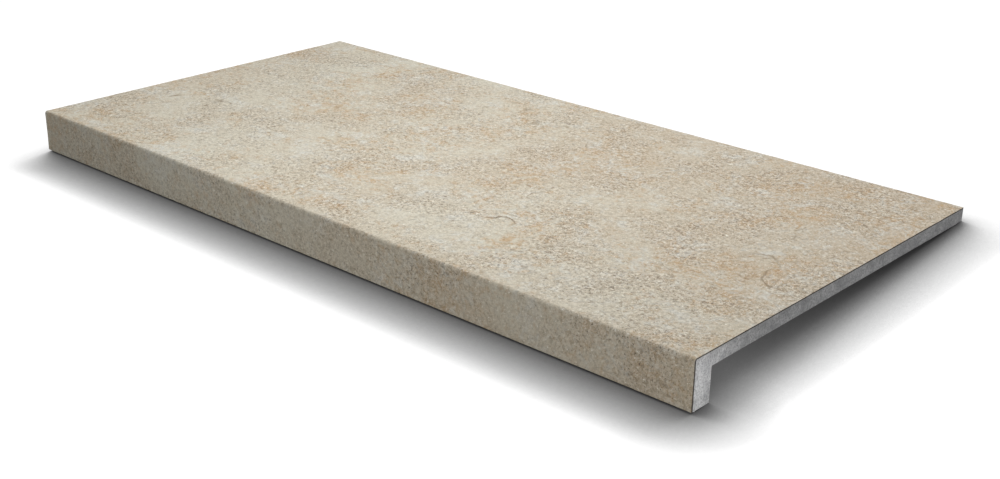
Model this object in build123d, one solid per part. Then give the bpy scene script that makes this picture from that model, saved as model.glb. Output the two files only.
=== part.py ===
"""Stair tread tile: a porcelain slab with its front edge turned down into a drop nose.

One fired piece of constant L section. X runs along the nose, Y from the nose to the back
edge, Z up. The tile lies as it comes to rest on a floor, walking face up: on the heel of
its nose and on its lower back edge.
"""

from build123d import *
import os
from math import atan2, degrees

# Driving dimensions, in millimetres
tread_length = 600.0  # along the nose
tread_depth = 300.0  # from the nose's face to the back edge
slab_thickness = 9.5
nose_height = 31.0  # from the walking face down to the nose's foot
nose_thickness = 16.0  # from the nose's face to its heel
nosing_radius = 2.0  # eased edge where the walking face turns into the nose
inner_radius = 1.0  # fillet where the slab's underside meets the nose
toe_radius = 0.8  # eased edge at the foot of the nose's face

# How far the nose hangs below the slab, and how far behind its heel the slab reaches
nose_drop = nose_height - slab_thickness
heel_to_back = tread_depth - nose_thickness

# The tile leans back on the heel of its nose until its lower back edge meets the floor
rest_tilt = degrees(atan2(nose_drop, heel_to_back))


def rounded(section, corner, radius):
    """The section with the corner at this place rounded."""
    vertex = section.vertices().sort_by_distance(corner)[0]
    return fillet(vertex, radius)


def tread_section():
    """The L section, level: across is the depth from the nose's face, up is the height
    above the walking face."""
    slab = Rectangle(tread_depth, slab_thickness, align=(Align.MIN, Align.MAX))
    nose = Rectangle(nose_thickness, nose_height, align=(Align.MIN, Align.MAX))
    section = slab + nose
    section = rounded(section, (0, 0), nosing_radius)
    section = rounded(section, (nose_thickness, -slab_thickness), inner_radius)
    return rounded(section, (0, -nose_height), toe_radius)


def stair_tread():
    """The section drawn out along the nose, with the nose's heel on the X axis."""
    tile = extrude(Plane.YZ * tread_section(), amount=tread_length / 2, both=True)
    return Pos(0, -nose_thickness, nose_height) * tile


def at_rest(tile):
    """The tile leaning back on the floor, with the origin under the middle of its box."""
    leaning = Rot(X=-rest_tilt) * tile
    box = leaning.bounding_box()
    return Pos(-box.center().X, -box.center().Y, -box.min.Z) * leaning


os.makedirs("parts", exist_ok=True)
export_step(at_rest(stair_tread()), "parts/stair_tread.step")
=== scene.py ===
"""Looks of the stair tread tile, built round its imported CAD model.

The tile is modelled level, with X along the nose, Y from the nose's face to the back edge and
Z up from the walking face, and is then leaned back to lie where the CAD tile rests.
"""

from math import atan2, cos, radians, sin

import bpy
import numpy as np
from mathutils import Matrix, Vector


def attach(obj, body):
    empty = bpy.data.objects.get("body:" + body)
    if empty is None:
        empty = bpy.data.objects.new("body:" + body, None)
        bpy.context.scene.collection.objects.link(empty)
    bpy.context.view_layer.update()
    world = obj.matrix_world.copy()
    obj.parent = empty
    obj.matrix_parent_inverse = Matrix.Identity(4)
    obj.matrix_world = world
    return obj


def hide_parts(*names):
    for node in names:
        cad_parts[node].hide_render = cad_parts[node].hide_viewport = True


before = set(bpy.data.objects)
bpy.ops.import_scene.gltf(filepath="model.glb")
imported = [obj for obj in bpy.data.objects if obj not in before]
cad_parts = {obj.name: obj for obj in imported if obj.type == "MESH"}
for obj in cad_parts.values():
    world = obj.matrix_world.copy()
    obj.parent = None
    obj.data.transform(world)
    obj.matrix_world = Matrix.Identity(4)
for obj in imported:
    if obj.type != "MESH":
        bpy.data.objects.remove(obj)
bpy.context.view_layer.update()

# Sizes of the tile, in metres
LENGTH = 0.600
DEPTH = 0.300
SLAB = 0.0095
NOSE_HEIGHT = 0.031
NOSE_THICKNESS = 0.016
NOSING_RADIUS = 0.002
INNER_RADIUS = 0.001
TOE_RADIUS = 0.0008

# The tile leans back on its heel until its lower back edge meets the floor
HEEL_TO_BACK = DEPTH - NOSE_THICKNESS
TILT = atan2(NOSE_HEIGHT - SLAB, HEEL_TO_BACK)

# Leaning, with its heel on the X axis, it reaches from its toe to its upper back edge
TOE_Y = (TOE_RADIUS - NOSE_THICKNESS) * cos(TILT) + TOE_RADIUS * sin(TILT) - TOE_RADIUS
BACK_Y = HEEL_TO_BACK * cos(TILT) + NOSE_HEIGHT * sin(TILT)
MIDDLE_Y = (TOE_Y + BACK_Y) / 2

# The move from where the tile is modelled to where it rests, with its middle over the origin
HEEL = Vector((0, NOSE_THICKNESS, -NOSE_HEIGHT))
LEAN = (
    Matrix.Translation((0, -MIDDLE_Y, 0))
    @ Matrix.Rotation(-TILT, 4, "X")
    @ Matrix.Translation(-HEEL)
)

# The same move backwards, in millimetres, for the patterns
MM = 1000
LEVEL_SHIFT_MM = (Matrix.Rotation(TILT, 3, "X") @ Vector((0, MIDDLE_Y, 0)) + HEEL) * MM

# Cuts that divide the tile: along the nose, made twice over and leaving short steps, across the
# walking face, between those, and down the nose's face
CUTS_ALONG = 14
STEP = LENGTH / (CUTS_ALONG + 1) ** 2
CUTS_ACROSS = 9
CUTS_BETWEEN = 11
CUTS_DOWN = 11

# Cells pressed into the back of the tile: a waffle of shallow squares between ribs a step wide
STEPS_PER_CELL = 8
CELL_ROWS = 12
CELL_MARGIN = 0.008
CELL_DEPTH = 0.0004
CELL_DRAFT = 0.0005

# Slow unevenness of the pressing die: width of its waves, their height, the share of the height
# that lies under the true face, and how far from the edges it fades out
DIE_WAVE = 0.014
DIE_HEIGHT = 0.0003
DIE_SUNK = 0.7
DIE_FADE = 0.006

# Places this near are the same one, in metres
CLOSE = 0.00005

# How much of a face's normal points a way when it faces squarely or partly that way
SQUARELY = 0.9
PARTLY = 0.2

# Where on its endless pattern the print starts, in millimetres
PRINT_START = (624, 374, 251)

# How far swirls can bend the print's larger patterns and its fossil arcs, in millimetres
SWIRL_REACH = 36
CRINKLE_REACH = 12

# Hairlines in the print: how far apart they run in millimetres, half their width in the noise,
# length in millimetres, strength
HAIRLINES = (
    (34, 0.010, 26, 0.6),
    (11, 0.022, 18, 0.45),
)

# Fossil arcs in the print, seen from above: middle and radius in millimetres, the side that shows
# in degrees, strength
FOSSIL_ARCS = (
    ((101, 68), 12, 95, 0.95),
    ((282, 121), 17, 225, 0.6),
    ((254, 129), 13, 80, 0.6),
)

# Dark band along the outer profile of the cut ends, in millimetres: its width on the slab, how much
# wider it is on the nose, and how soft its inner side is
DARK_RIM = 1.0
WIDER_ON_NOSE = 0.5
DARK_RIM_BLUR = 0.25

# The tile's painted shadow on the paper: where the light leans from, reach in metres, depth
PAINTED_SHADOW_LEAN = (-1.2, 0.8, 0)
PAINTED_SHADOW_REACH = 0.042
PAINTED_SHADOW_DEPTH = 3.4

# Studio lamps: place and aim in metres, size in metres, spread in degrees, power in watts
LAMPS = (
    ("softbox", (-0.35, 1.9, 1.5), (0.0, 0.0, 0.0), 1.2, 180, 46),
    ("top_lamp", (0.0, -0.05, 0.5), (0.0, -0.05, 0.0), 0.15, 180, 0.95),
    ("front_fill", (0.28, -0.9, 0.07), (0.08, -0.15, 0.02), 0.4, 180, 2.6),
    ("end_fill", (1.1, -0.1, 0.06), (0.3, 0.0, 0.02), 0.3, 180, 2.0),
    ("end_lamp", (0.35, -0.145, 0.02), (0.3, -0.145, 0.015), 0.03, 90, 0.0042),
)

# The photograph's viewpoint: place in metres, turn in degrees, lens and sensor in millimetres
EYE_PLACE = (0.666247, -0.678977, 0.406496)
EYE_TURN = (64.5689, 2.103, 42.1776)
EYE_LENS = 52.458
EYE_SENSOR = 36

# Sockets of the Mix node for colours
MIX_SHARE = 0
MIX_A = 6
MIX_B = 7
MIX_RESULT = 2


def linear(code):
    """An sRGB hex colour as linear red, green, blue and alpha."""
    parts = [int(code[i:i + 2], 16) / 255 for i in (1, 3, 5)]
    return [c / 12.92 if c <= 0.04045 else ((c + 0.055) / 1.055) ** 2.4 for c in parts] + [1.0]


def add_node(tree, kind, inputs, **settings):
    """Adds a node with its settings, and gives each input a value or a link."""
    made = tree.nodes.new(kind)
    for name, value in settings.items():
        setattr(made, name, value)
    for socket, value in inputs.items():
        if isinstance(value, bpy.types.NodeSocket):
            tree.links.new(value, made.inputs[socket])
        else:
            made.inputs[socket].default_value = value
    return made


def new_material(name):
    """A material with its own shader, and the level place on the tile in millimetres."""
    material = bpy.data.materials.new(name)
    material.use_nodes = True
    tree = material.node_tree
    shader = tree.nodes["Principled BSDF"]
    spot = add_node(tree, "ShaderNodeTexCoord", {})
    level = add_node(tree, "ShaderNodeMapping", {
        "Vector": spot.outputs["Object"],
        "Location": LEVEL_SHIFT_MM,
        "Rotation": (TILT, 0, 0),
        "Scale": (MM, MM, MM),
    })
    return material, tree, shader, level.outputs["Vector"]


def hairlines(tree, level, bent):
    """Hairlines about a millimetre wide: where a slow noise passes its middle, in short pieces."""
    lines = []
    for apart, half_width, length, strength in HAIRLINES:
        contour = add_node(tree, "ShaderNodeTexNoise", {
            "Vector": bent, "Scale": 1 / apart, "Detail": 2, "Roughness": 0.5})
        from_middle = add_node(tree, "ShaderNodeMath", {
            0: contour.outputs["Fac"], 1: 0.5}, operation="SUBTRACT")
        beside = add_node(tree, "ShaderNodeMath", {0: from_middle.outputs[0]}, operation="ABSOLUTE")
        breaks = add_node(tree, "ShaderNodeTexNoise", {
            "Vector": level, "Scale": 1 / length, "Detail": 3, "Roughness": 0.65})
        kept = add_node(tree, "ShaderNodeMapRange", {
            "Value": breaks.outputs["Fac"], "From Min": 0.56, "From Max": 0.68, "To Max": strength})
        lines.append(add_node(tree, "ShaderNodeMapRange", {
            "Value": beside.outputs[0], "From Min": half_width * 0.4, "From Max": half_width * 1.6,
            "To Min": kept.outputs[0], "To Max": 0}))
    return lines


def fossil_arcs(tree, level):
    """Fossil arcs: each is part of a thin crinkled ring, strongest towards one side."""
    arcs = []
    crinkle = add_node(tree, "ShaderNodeTexNoise", {"Vector": level, "Scale": 1 / 11, "Detail": 3})
    for (x, y), radius, side, strength in FOSSIL_ARCS:
        spoke = add_node(tree, "ShaderNodeVectorMath", {
            0: level, 1: (x + CRINKLE_REACH / 2, y + CRINKLE_REACH / 2, 0)}, operation="SUBTRACT")
        wobble = add_node(tree, "ShaderNodeVectorMath", {
            0: crinkle.outputs["Color"], 1: (CRINKLE_REACH, CRINKLE_REACH, 0), 2: spoke.outputs[0]},
            operation="MULTIPLY_ADD")
        away = add_node(tree, "ShaderNodeVectorMath", {0: wobble.outputs[0]}, operation="LENGTH")
        off_ring = add_node(tree, "ShaderNodeMath", {
            0: away.outputs["Value"], 1: radius}, operation="SUBTRACT")
        beside = add_node(tree, "ShaderNodeMath", {0: off_ring.outputs[0]}, operation="ABSOLUTE")
        turned = add_node(tree, "ShaderNodeVectorMath", {
            0: wobble.outputs[0], 1: (cos(radians(side)), sin(radians(side)), 0)},
            operation="DOT_PRODUCT")
        shown = add_node(tree, "ShaderNodeMapRange", {
            "Value": turned.outputs["Value"], "From Min": radius * 0.1, "From Max": radius * 0.9,
            "To Max": strength})
        arcs.append(add_node(tree, "ShaderNodeMapRange", {
            "Value": beside.outputs[0], "From Min": 0.3, "From Max": 1.2,
            "To Min": shown.outputs[0], "To Max": 0}))
    return arcs


def printed_glaze():
    """Matte glaze on pressed porcelain, printed to look like limestone. The eye sees a dry beige
    face of sandy grain, smooth in places and pitted in others, with tan and chalky flecks and a
    few brown hairlines."""
    material, tree, shader, level = new_material("printed_matte_glaze")

    # Slow swirls bend the larger patterns by some millimetres
    start = add_node(tree, "ShaderNodeVectorMath", {0: level, 1: PRINT_START}, operation="ADD")
    swirl = add_node(tree, "ShaderNodeTexNoise", {
        "Vector": start.outputs[0], "Scale": 1 / 60, "Detail": 2})
    off_centre = add_node(tree, "ShaderNodeVectorMath", {
        0: swirl.outputs["Color"], 1: (0.5, 0.5, 0.5)}, operation="SUBTRACT")
    bent = add_node(tree, "ShaderNodeVectorMath", {
        0: off_centre.outputs[0], 1: (SWIRL_REACH, SWIRL_REACH, SWIRL_REACH), 2: start.outputs[0]},
        operation="MULTIPLY_ADD")

    # Clouds about 100 mm wide, from cream to a browner beige. The gain towards the back right corner is
    # partly the print's browning and partly painted shade where the light falls off
    clouds = add_node(tree, "ShaderNodeTexNoise", {
        "Vector": bent.outputs[0], "Scale": 1 / 100, "Detail": 6, "Roughness": 0.68})
    towards_corner = add_node(tree, "ShaderNodeVectorMath", {
        0: level, 1: (0.8, 0.6, 0)}, operation="DOT_PRODUCT")
    # Painted shade: the beige browns and darkens towards the back right corner, as if less light fell
    # there
    print_and_shade_gain = add_node(tree, "ShaderNodeMapRange", {
        "Value": towards_corner.outputs["Value"], "From Min": 80, "From Max": 400, "To Max": 0.3})
    tone = add_node(tree, "ShaderNodeMath", {
        0: clouds.outputs["Fac"], 1: print_and_shade_gain.outputs[0]}, operation="ADD")
    cloud_share = add_node(tree, "ShaderNodeMapRange", {
        "Value": tone.outputs[0], "From Min": 0.4, "From Max": 0.7})
    ground = add_node(tree, "ShaderNodeMix", {
        MIX_SHARE: cloud_share.outputs[0], MIX_A: linear("#CFC9B7"), MIX_B: linear("#BFAF97")},
        data_type="RGBA")

    # The print is fainter on the nose than on the walking face
    place = add_node(tree, "ShaderNodeSeparateXYZ", {"Vector": level})
    print_share = add_node(tree, "ShaderNodeMapRange", {
        "Value": place.outputs["Y"], "From Min": 1, "From Max": 12, "To Min": 0.55, "To Max": 0.8})

    # Tan flecks of 1 to 7 mm, which crowd together into stains 20 to 50 mm wide
    stains = add_node(tree, "ShaderNodeTexNoise", {
        "Vector": bent.outputs[0], "Scale": 1 / 45, "Detail": 3, "Roughness": 0.6})
    flecks = add_node(tree, "ShaderNodeTexNoise", {
        "Vector": level, "Scale": 1 / 7, "Detail": 4, "Roughness": 0.75, "Distortion": 0.8})
    crowd = add_node(tree, "ShaderNodeMath", {
        0: stains.outputs["Fac"], 1: 0.8, 2: flecks.outputs["Fac"]}, operation="MULTIPLY_ADD")
    fleck_share = add_node(tree, "ShaderNodeMapRange", {
        "Value": crowd.outputs[0], "From Min": 0.91, "From Max": 1.16,
        "To Max": print_share.outputs[0]})
    flecked = add_node(tree, "ShaderNodeMix", {
        MIX_SHARE: fleck_share.outputs[0], MIX_A: ground.outputs[MIX_RESULT], MIX_B: linear("#B8925F")},
        data_type="RGBA")

    # Chalky flecks of 1 to 6 mm, which crowd together into veils 10 to 30 mm wide
    veils = add_node(tree, "ShaderNodeTexNoise", {
        "Vector": bent.outputs[0], "Scale": 1 / 28, "Detail": 3, "Roughness": 0.6})
    chalk = add_node(tree, "ShaderNodeTexNoise", {
        "Vector": bent.outputs[0], "Scale": 1 / 6, "Detail": 3, "Roughness": 0.8, "Distortion": 0.8})
    drift = add_node(tree, "ShaderNodeMath", {
        0: veils.outputs["Fac"], 1: 0.6, 2: chalk.outputs["Fac"]}, operation="MULTIPLY_ADD")
    chalk_share = add_node(tree, "ShaderNodeMapRange", {
        "Value": drift.outputs[0], "From Min": 0.8, "From Max": 1.02,
        "To Max": print_share.outputs[0]})
    chalked = add_node(tree, "ShaderNodeMix", {
        MIX_SHARE: chalk_share.outputs[0], MIX_A: flecked.outputs[MIX_RESULT], MIX_B: linear("#D3D3CC")},
        data_type="RGBA")

    # Flaky grain of half a millimetre to 3 mm, strong in some zones and faint in others and on the nose
    zones = add_node(tree, "ShaderNodeTexNoise", {
        "Vector": bent.outputs[0], "Scale": 1 / 50, "Detail": 3, "Roughness": 0.6})
    strongest = add_node(tree, "ShaderNodeMapRange", {
        "Value": place.outputs["Y"], "From Min": 1, "From Max": 12, "To Min": 0.75, "To Max": 1.0})
    zone_share = add_node(tree, "ShaderNodeMapRange", {
        "Value": zones.outputs["Fac"], "From Min": 0.38, "From Max": 0.62,
        "To Min": 0.4, "To Max": strongest.outputs[0]})
    grain = add_node(tree, "ShaderNodeTexNoise", {
        "Vector": level, "Scale": 1 / 2.8, "Detail": 3, "Roughness": 0.95, "Distortion": 0.8})
    dark_grain = add_node(tree, "ShaderNodeMapRange", {
        "Value": grain.outputs["Fac"], "From Min": 0.5, "From Max": 0.66,
        "To Max": zone_share.outputs[0]})
    pale_grain = add_node(tree, "ShaderNodeMapRange", {
        "Value": grain.outputs["Fac"], "From Min": 0.5, "From Max": 0.32,
        "To Max": zone_share.outputs[0]})
    specked = add_node(tree, "ShaderNodeMix", {
        MIX_SHARE: dark_grain.outputs[0], MIX_A: chalked.outputs[MIX_RESULT], MIX_B: linear("#857A6A")},
        data_type="RGBA")
    grained = add_node(tree, "ShaderNodeMix", {
        MIX_SHARE: pale_grain.outputs[0], MIX_A: specked.outputs[MIX_RESULT], MIX_B: linear("#E6E1D3")},
        data_type="RGBA")

    # Pits and white flecks of a millimetre or two, the pits most in the grainiest zones
    pits = add_node(tree, "ShaderNodeTexNoise", {
        "Vector": level, "Scale": 1 / 1.7, "Detail": 2, "Roughness": 0.7})
    pitted = add_node(tree, "ShaderNodeMapRange", {
        "Value": zones.outputs["Fac"], "From Min": 0.42, "From Max": 0.62,
        "To Min": 0.25, "To Max": 0.85})
    pit_share = add_node(tree, "ShaderNodeMapRange", {
        "Value": pits.outputs["Fac"], "From Min": 0.60, "From Max": 0.66, "To Max": pitted.outputs[0]})
    dotted = add_node(tree, "ShaderNodeMix", {
        MIX_SHARE: pit_share.outputs[0], MIX_A: grained.outputs[MIX_RESULT], MIX_B: linear("#5E5446")},
        data_type="RGBA")
    white_share = add_node(tree, "ShaderNodeMapRange", {
        "Value": pits.outputs["Fac"], "From Min": 0.37, "From Max": 0.31, "To Max": 0.8})
    whitened = add_node(tree, "ShaderNodeMix", {
        MIX_SHARE: white_share.outputs[0], MIX_A: dotted.outputs[MIX_RESULT], MIX_B: linear("#F2F0E8")},
        data_type="RGBA")

    # Brown hairlines and fossil arcs, fainter on the nose and worn in patches
    vein, *others = hairlines(tree, level, bent.outputs[0]) + fossil_arcs(tree, level)
    for other in others:
        vein = add_node(tree, "ShaderNodeMath", {
            0: vein.outputs[0], 1: other.outputs[0]}, operation="MAXIMUM")
    vein_strength = add_node(tree, "ShaderNodeMapRange", {
        "Value": place.outputs["Y"], "From Min": 1, "From Max": 12, "To Min": 0.3, "To Max": 1.0})
    fresh = add_node(tree, "ShaderNodeMath", {
        0: vein.outputs[0], 1: vein_strength.outputs[0]}, operation="MULTIPLY")
    worn = add_node(tree, "ShaderNodeMapRange", {
        "Value": flecks.outputs["Fac"], "From Min": 0.34, "From Max": 0.52,
        "To Min": 0.3, "To Max": fresh.outputs[0]})
    vein_share = add_node(tree, "ShaderNodeMath", {
        0: fresh.outputs[0], 1: worn.outputs[0]}, operation="MINIMUM")
    veined = add_node(tree, "ShaderNodeMix", {
        MIX_SHARE: vein_share.outputs[0], MIX_A: whitened.outputs[MIX_RESULT], MIX_B: linear("#78664A")},
        data_type="RGBA")
    tree.links.new(veined.outputs[MIX_RESULT], shader.inputs["Base Color"])

    # A dry face: the grain stands some tenths of a millimetre proud, and its hollows shine least
    rough = add_node(tree, "ShaderNodeMapRange", {
        "Value": grain.outputs["Fac"], "From Min": 0.3, "From Max": 0.7, "To Min": 0.8, "To Max": 0.95})
    tree.links.new(rough.outputs[0], shader.inputs["Roughness"])
    bump = add_node(tree, "ShaderNodeBump", {
        "Height": grain.outputs["Fac"], "Strength": zone_share.outputs[0], "Distance": 0.0005},
        invert=True)
    tree.links.new(bump.outputs["Normal"], shader.inputs["Normal"])
    shader.inputs["IOR"].default_value = 1.5
    return material


def fired_body():
    """Grey porcelain body, as sawn and as pressed. The eye sees an even neutral grey with a fine
    grain, and on the sawn ends a dark band along the outer profile."""
    material, tree, shader, level = new_material("fired_porcelain_body")

    # Grain of a millimetre in cloudy grey
    clouds = add_node(tree, "ShaderNodeTexNoise", {
        "Vector": level, "Scale": 1 / 9, "Detail": 5, "Roughness": 0.6})
    cloud_share = add_node(tree, "ShaderNodeMapRange", {
        "Value": clouds.outputs["Fac"], "From Min": 0.35, "From Max": 0.65})
    ground = add_node(tree, "ShaderNodeMix", {
        MIX_SHARE: cloud_share.outputs[0], MIX_A: linear("#A2A2A3"), MIX_B: linear("#C8C8C8")},
        data_type="RGBA")
    grain = add_node(tree, "ShaderNodeTexNoise", {
        "Vector": level, "Scale": 1 / 1.1, "Detail": 2, "Roughness": 0.8})
    dark_grain = add_node(tree, "ShaderNodeMapRange", {
        "Value": grain.outputs["Fac"], "From Min": 0.42, "From Max": 0.66, "To Max": 0.8})
    grained = add_node(tree, "ShaderNodeMix", {
        MIX_SHARE: dark_grain.outputs[0], MIX_A: ground.outputs[MIX_RESULT], MIX_B: linear("#7A7A7B")},
        data_type="RGBA")

    # The dark band follows the outer profile, and turns the corner with the nosing's radius
    place = add_node(tree, "ShaderNodeSeparateXYZ", {"Vector": level})
    radius = NOSING_RADIUS * MM
    inside = radius - DARK_RIM
    from_nose = add_node(tree, "ShaderNodeMath", {
        0: radius + WIDER_ON_NOSE, 1: place.outputs["Y"]}, operation="SUBTRACT")
    from_face = add_node(tree, "ShaderNodeMath", {0: radius, 1: place.outputs["Z"]}, operation="ADD")
    corner = add_node(tree, "ShaderNodeCombineXYZ", {
        "X": from_nose.outputs[0], "Y": from_face.outputs[0]})
    outside = add_node(tree, "ShaderNodeVectorMath", {
        0: corner.outputs[0], 1: (0, 0, 0)}, operation="MAXIMUM")
    reach = add_node(tree, "ShaderNodeVectorMath", {0: outside.outputs[0]}, operation="LENGTH")
    dark_rim_share = add_node(tree, "ShaderNodeMapRange", {
        "Value": reach.outputs["Value"], "From Min": inside, "From Max": inside + DARK_RIM_BLUR})
    edged = add_node(tree, "ShaderNodeMix", {
        MIX_SHARE: dark_rim_share.outputs[0], MIX_A: grained.outputs[MIX_RESULT], MIX_B: linear("#2B241C")},
        data_type="RGBA")
    tree.links.new(edged.outputs[MIX_RESULT], shader.inputs["Base Color"])

    # The grain's hollows are about a tenth of a millimetre deep
    bump = add_node(tree, "ShaderNodeBump", {
        "Height": grain.outputs["Fac"], "Strength": 0.5, "Distance": 0.0002}, invert=True)
    tree.links.new(bump.outputs["Normal"], shader.inputs["Normal"])
    shader.inputs["Roughness"].default_value = 0.8
    shader.inputs["IOR"].default_value = 1.5
    return material


def pick(piece, kind, test):
    """In edit mode, selects the edges or faces that pass the test, and nothing else. The test
    gets each one's middle and, for an edge, its run, or for a face, its normal."""
    bpy.ops.object.mode_set(mode="OBJECT")
    mesh = piece.data
    bpy.context.tool_settings.mesh_select_mode = (False, kind == "edges", kind == "faces")
    places = np.empty(len(mesh.vertices) * 3)
    mesh.vertices.foreach_get("co", places)
    places = places.reshape(-1, 3)
    if kind == "edges":
        ends = np.empty(len(mesh.edges) * 2, int)
        mesh.edges.foreach_get("vertices", ends)
        first, last = places[ends.reshape(-1, 2)].transpose(1, 0, 2)
        middle, second = (first + last) / 2, last - first
    else:
        middle = np.empty(len(mesh.polygons) * 3)
        second = np.empty(len(mesh.polygons) * 3)
        mesh.polygons.foreach_get("center", middle)
        mesh.polygons.foreach_get("normal", second)
        middle, second = middle.reshape(-1, 3), second.reshape(-1, 3)
    chosen = test(middle.T, second.T)
    for group in (mesh.vertices, mesh.edges, mesh.polygons):
        group.foreach_set("select", np.zeros(len(group), bool))
    group = mesh.edges if kind == "edges" else mesh.polygons
    group.foreach_set("select", chosen)
    bpy.ops.object.mode_set(mode="EDIT")


def near(value, wanted):
    """Whether a place is the wanted one."""
    return abs(value - wanted) < CLOSE


def tread_block():
    """The L section as a solid: a slab, with its front strip drawn down into the nose."""
    bpy.ops.object.select_all(action="DESELECT")
    bpy.ops.mesh.primitive_cube_add(size=1, location=(0, DEPTH / 2, -SLAB / 2))
    tile = bpy.context.object
    tile.name = "stair_tread_tile"
    tile.scale = (LENGTH, DEPTH, SLAB)
    bpy.ops.object.transform_apply(location=True, rotation=True, scale=True)

    # All round, the slab is cut behind the nose, and its front strip is drawn down
    pick(tile, "faces", lambda at, facing: abs(at[0]) < LENGTH)
    bpy.ops.mesh.bisect(plane_co=(0, NOSE_THICKNESS, 0), plane_no=(0, 1, 0))
    pick(tile, "faces", lambda at, facing: (facing[2] < -SQUARELY) & (at[1] < NOSE_THICKNESS))
    bpy.ops.mesh.extrude_region_move(TRANSFORM_OT_translate={"value": (0, 0, SLAB - NOSE_HEIGHT)})
    bpy.ops.mesh.select_all(action="SELECT")
    bpy.ops.mesh.dissolve_limited(angle_limit=radians(1))

    # The nosing, the corner under the slab and the toe are each rounded
    for y, z, radius, steps in (
        (0, 0, NOSING_RADIUS, 6),
        (NOSE_THICKNESS, -SLAB, INNER_RADIUS, 4),
        (0, -NOSE_HEIGHT, TOE_RADIUS, 4),
    ):
        pick(tile, "edges", lambda at, run: near(at[1], y) & near(at[2], z) & (abs(run[0]) > LENGTH / 2))
        bpy.ops.mesh.bevel(offset=radius, segments=steps, profile=0.5, affect="EDGES")
    return tile


def divide(tile):
    """Cuts the faces that carry relief into cells of about 2.5 mm."""
    for least in (LENGTH / 2, LENGTH / 20):
        pick(tile, "edges", lambda at, run: abs(run[0]) > least)
        bpy.ops.mesh.subdivide(number_cuts=CUTS_ALONG)
    for least, cuts in ((DEPTH / 2, CUTS_ACROSS), (DEPTH / 20, CUTS_BETWEEN)):
        pick(tile, "edges", lambda at, run: near(at[2], 0) & (abs(run[1]) > least))
        bpy.ops.mesh.subdivide(number_cuts=cuts)
    pick(tile, "edges", lambda at, run: near(at[1], 0) & (abs(run[2]) > NOSE_HEIGHT / 2))
    bpy.ops.mesh.subdivide(number_cuts=CUTS_DOWN)


def press_cells(tile):
    """Presses the waffle into the back of the slab."""
    start = NOSE_THICKNESS + INNER_RADIUS + CELL_MARGIN
    end = DEPTH - CELL_MARGIN
    cell = (end - start - (CELL_ROWS - 1) * STEP) / CELL_ROWS
    for row in range(CELL_ROWS):
        cell_start = start + row * (cell + STEP)
        for y in (cell_start, cell_start + cell):
            pick(tile, "faces", lambda at, facing: (facing[2] < -SQUARELY) & near(at[2], -SLAB))
            bpy.ops.mesh.bisect(plane_co=(0, y, 0), plane_no=(0, 1, 0))

    def in_cell(at, facing):
        """Whether a face lies on the back of the slab and between the ribs."""
        step = np.floor((at[0] + LENGTH / 2) / STEP).astype(int)
        across = ((at[1] - start) % (cell + STEP) < cell) & (at[1] > start) & (at[1] < end)
        on_back = (facing[2] < -SQUARELY) & near(at[2], -SLAB)
        return on_back & (step % STEPS_PER_CELL != 0) & across

    pick(tile, "faces", in_cell)
    bpy.ops.mesh.inset(thickness=CELL_DRAFT, depth=-CELL_DEPTH)
    bpy.ops.object.mode_set(mode="OBJECT")


def rub_relief(tile):
    """Gives the walking face and the nose's face the slow unevenness of the pressing die."""
    relief = bpy.data.textures.new("die_relief", "CLOUDS")
    relief.noise_scale = DIE_WAVE
    relief.noise_depth = 3
    for name, axis, height in (("walking_face", "Z", DIE_HEIGHT), ("nose_face", "Y", -DIE_HEIGHT)):
        group = tile.vertex_groups.new(name=name)
        for vertex in tile.data.vertices:
            y, z = vertex.co.yz
            if name == "walking_face" and near(z, 0):
                inside = y - NOSING_RADIUS
            elif name == "nose_face" and near(y, 0):
                inside = min(-z - NOSING_RADIUS, z + NOSE_HEIGHT - TOE_RADIUS)
            else:
                continue
            group.add([vertex.index], min(1, max(0, inside / DIE_FADE)), "REPLACE")
        displace = tile.modifiers.new(name, "DISPLACE")
        displace.texture = relief
        displace.texture_coords = "LOCAL"
        displace.direction = axis
        displace.vertex_group = name
        displace.strength = height
        displace.mid_level = DIE_SUNK
        bpy.ops.object.modifier_apply(modifier=name)


def coat_and_body(tile, coat, body):
    """Gives the coat to the walking face, the nosing and the nose's face, and the body to the rest."""
    tile.data.materials.append(body)
    tile.data.materials.append(coat)

    def coated(at, facing):
        """Whether a face looks up, or looks forward from the nose."""
        return (facing[2] > PARTLY) | ((facing[1] < -PARTLY) & (at[1] < NOSING_RADIUS))

    pick(tile, "faces", coated)
    tile.active_material_index = 1
    bpy.ops.object.material_slot_assign()
    bpy.ops.object.mode_set(mode="OBJECT")


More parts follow.
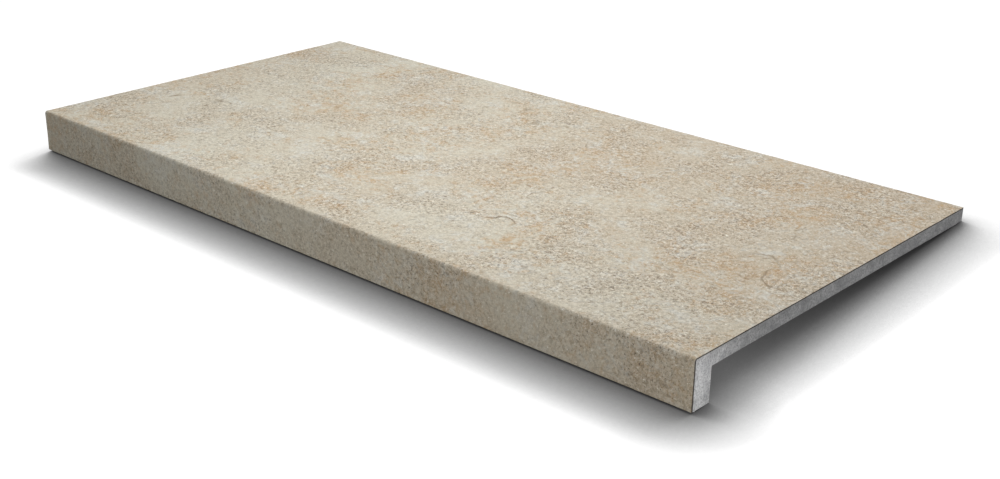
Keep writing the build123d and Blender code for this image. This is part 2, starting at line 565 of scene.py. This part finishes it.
def unroll(tile):
    """A map that unrolls the section: the coat gets the most room, then the body, then the ends."""
    mesh = tile.data
    layer = mesh.uv_layers.new(name="OFBake")

    # From the map's foot up: the coat at full scale, the body squeezed, and the two ends side by side
    gap = 0.004
    half = 0.5
    scale = (1 - 2 * gap) / LENGTH
    unrolled = DEPTH + NOSE_HEIGHT
    coat_top = gap + unrolled * scale
    end_foot = 1 - gap - NOSE_HEIGHT * scale
    body_scale = (end_foot - coat_top - 2 * gap) / unrolled
    end_scale = (half - 2 * gap) / DEPTH

    # Each corner's place, and the facing and material of the face that it belongs to
    places = np.empty(len(mesh.vertices) * 3)
    mesh.vertices.foreach_get("co", places)
    corners = np.empty(len(mesh.loops), int)
    mesh.loops.foreach_get("vertex_index", corners)
    x, y, z = places.reshape(-1, 3)[corners].T
    facing = np.empty(len(mesh.polygons) * 3)
    mesh.polygons.foreach_get("normal", facing)
    totals = np.empty(len(mesh.polygons), int)
    mesh.polygons.foreach_get("loop_total", totals)
    worn = np.empty(len(mesh.polygons), int)
    mesh.polygons.foreach_get("material_index", worn)
    end_side = np.repeat(facing.reshape(-1, 3)[:, 0], totals)
    coated = np.repeat(worn, totals) == 1

    at_end = abs(end_side) > SQUARELY
    round_section = DEPTH - y - z
    along = gap + (x + LENGTH / 2) * scale
    up = np.where(coated, gap + round_section * scale, coat_top + gap + round_section * body_scale)
    u = np.where(at_end, np.where(end_side > 0, half, 0) + gap + y * end_scale, along)
    v = np.where(at_end, end_foot + (z + NOSE_HEIGHT) * scale, up)
    layer.data.foreach_set("uv", np.stack([u, v], axis=1).astype(np.float32).ravel())


def stair_tread_tile():
    """The whole tile, leaned back to where it rests."""
    tile = tread_block()
    divide(tile)
    press_cells(tile)
    coat_and_body(tile, printed_glaze(), fired_body())
    unroll(tile)
    rub_relief(tile)
    tile.matrix_world = LEAN
    bpy.ops.object.transform_apply(location=True, rotation=True, scale=True)
    bpy.ops.object.shade_smooth_by_angle(angle=radians(30))
    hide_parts("stair_tread")
    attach(tile, "root")


def rays_to_the_eye(tree):
    """1 for the rays that show the backdrop itself: seen straight, mirrored or through glass."""
    path = add_node(tree, "ShaderNodeLightPath", {})
    straight_or_mirrored = add_node(tree, "ShaderNodeMath", {
        0: path.outputs["Is Camera Ray"], 1: path.outputs["Is Glossy Ray"]}, operation="MAXIMUM")
    seen = add_node(tree, "ShaderNodeMath", {
        0: straight_or_mirrored.outputs[0], 1: path.outputs["Is Transmission Ray"]},
        operation="MAXIMUM")
    return seen.outputs[0]


def studio_floor():
    """White paper that keeps the tile's shadow, with a painted shadow in its glow near the tile. To the
    tile it is darker than to the eye.
    """
    bpy.ops.object.select_all(action="DESELECT")
    bpy.ops.mesh.primitive_plane_add(size=12, location=(0, 0, 0))
    floor = bpy.context.object
    floor.name = "studio_floor"
    material = bpy.data.materials.new("white_paper")
    material.use_nodes = True
    tree = material.node_tree
    tree.nodes.remove(tree.nodes["Principled BSDF"])

    # The paper's white glow fades in a painted shadow near the tile, most in front and to the right
    geometry = add_node(tree, "ShaderNodeNewGeometry", {})
    leaning = add_node(tree, "ShaderNodeVectorMath", {
        0: geometry.outputs["Normal"], 1: PAINTED_SHADOW_LEAN}, operation="ADD")
    to_light = add_node(tree, "ShaderNodeVectorMath", {0: leaning.outputs[0]}, operation="NORMALIZE")
    # Painted shadow: ambient occlusion, leaned towards the light, darkens the glow near the tile
    painted_shadow_ao = add_node(tree, "ShaderNodeAmbientOcclusion", {
        "Distance": PAINTED_SHADOW_REACH, "Normal": to_light.outputs[0]}, samples=16)
    open_share = add_node(tree, "ShaderNodeMath", {
        0: painted_shadow_ao.outputs["AO"], 1: PAINTED_SHADOW_DEPTH}, operation="POWER")
    glow = add_node(tree, "ShaderNodeEmission", {
        "Color": linear("#FFFFFF"), "Strength": open_share.outputs[0]})
    paper = add_node(tree, "ShaderNodeBsdfDiffuse", {"Color": linear("#606060")})
    white = add_node(tree, "ShaderNodeAddShader", {0: paper.outputs[0], 1: glow.outputs[0]})
    dim = add_node(tree, "ShaderNodeBsdfDiffuse", {"Color": linear("#959595")})
    both = add_node(tree, "ShaderNodeMixShader", {
        0: rays_to_the_eye(tree), 1: dim.outputs[0], 2: white.outputs[0]})
    tree.links.new(both.outputs[0], tree.nodes["Material Output"].inputs["Surface"])
    floor.data.materials.append(material)


def studio_light():
    """A softbox behind, a lamp above, fills in front and to the right, and a small lamp by the
    nose's end."""
    world = bpy.data.worlds.new("studio")
    bpy.context.scene.world = world
    world.use_nodes = True
    tree = world.node_tree

    # The backdrop is white to the eye, and gives the tile a little light from all round
    strength = add_node(tree, "ShaderNodeMapRange", {
        "Value": rays_to_the_eye(tree), "To Min": 0.15, "To Max": 1.0})
    tree.links.new(strength.outputs[0], tree.nodes["Background"].inputs["Strength"])
    tree.nodes["Background"].inputs["Color"].default_value = linear("#FFFFFF")

    for name, place, aim, size, spread, power in LAMPS:
        bpy.ops.object.light_add(type="AREA", location=place)
        lamp = bpy.context.object
        lamp.name = name
        lamp.data.size = size
        lamp.data.spread = radians(spread)
        lamp.data.energy = power
        lamp.rotation_euler = (Vector(aim) - Vector(place)).to_track_quat("-Z", "Y").to_euler()
        lamp.visible_camera = False


def camera():
    """The photograph's viewpoint."""
    bpy.ops.object.camera_add(location=EYE_PLACE)
    eye = bpy.context.object
    eye.rotation_euler = [radians(turn) for turn in EYE_TURN]
    eye.data.lens = EYE_LENS
    eye.data.sensor_width = EYE_SENSOR
    bpy.context.scene.camera = eye


stair_tread_tile()
studio_floor()
studio_light()
camera()
bpy.context.scene.view_settings.view_transform = "Standard"
